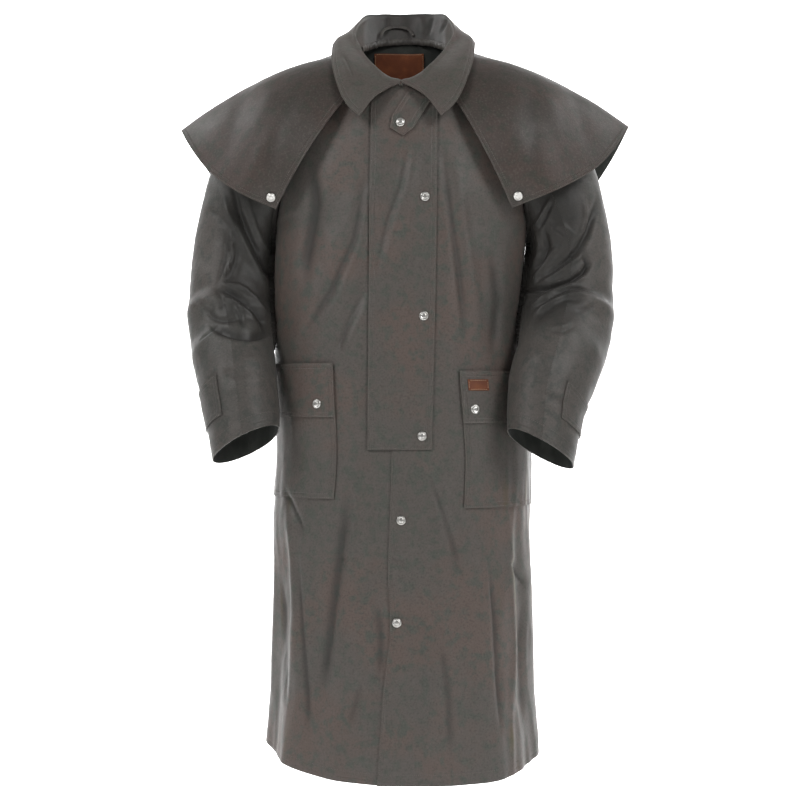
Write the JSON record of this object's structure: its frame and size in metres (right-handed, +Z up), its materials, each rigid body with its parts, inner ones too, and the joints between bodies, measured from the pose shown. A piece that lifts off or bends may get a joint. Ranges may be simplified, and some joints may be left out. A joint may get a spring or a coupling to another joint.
{
  "type": "duster coat",
  "caption": "Long oilskin duster coat with a shoulder cape, storm flap, patch pockets and folded collar, filled out as worn and hollow inside.",
  "frame": {"origin": "centre of the neck base at the height of the shoulder neck points, where the wearer holds the coat up", "axes": "+Z up along the body, -Y out of the front, +X to the wearer's left"},
  "size_m": [0.76, 0.3814, 1.2902],
  "materials": {
    "oilskin": "waxed cotton oilskin, grey brown, soft uneven sheen",
    "oilskin_sleeve": "waxed cotton oilskin, dark olive brown, waxy sheen on the creases",
    "oilskin_cape": "waxed cotton oilskin, warmer brown, mottled",
    "lining": "dark plain woven lining, matt",
    "label_leather": "bare reddish brown label with a tan stitched edge",
    "tag_leather": "bare small brown tag",
    "snap_metal": "bright nickel snap caps"
  },
  "bodies": {
    "root": {"front_left": "oilskin", "back_left": "oilskin", "sleeve_top_left": "oilskin_sleeve", "sleeve_under_left": "oilskin_sleeve", "cuff_strap_left": "oilskin_sleeve", "cape_left": "oilskin_cape", "pocket_left": "oilskin", "pocket_flap_left": "oilskin", "snap_cape_left": "snap_metal", "snap_cuff_left": "snap_metal", "snap_pocket_left": "snap_metal", "front_right": "oilskin", "back_right": "oilskin", "sleeve_top_right": "oilskin_sleeve", "sleeve_under_right": "oilskin_sleeve", "cuff_strap_right": "oilskin_sleeve", "cape_right": "oilskin_cape", "pocket_right": "oilskin", "pocket_flap_right": "oilskin", "snap_cape_right": "snap_metal", "snap_cuff_right": "snap_metal", "snap_pocket_right": "snap_metal", "collar": "oilskin", "storm_flap": "oilskin", "throat_tab": "oilskin", "snap_flap_1": "snap_metal", "snap_flap_2": "snap_metal", "snap_flap_3": "snap_metal", "snap_lower_1": "snap_metal", "snap_lower_2": "snap_metal", "snap_throat": "snap_metal", "neck_lining": "lining", "hanger_loop": "lining", "neck_label": "label_leather", "pocket_tag": "tag_leather"}
  },
  "joints": []
}
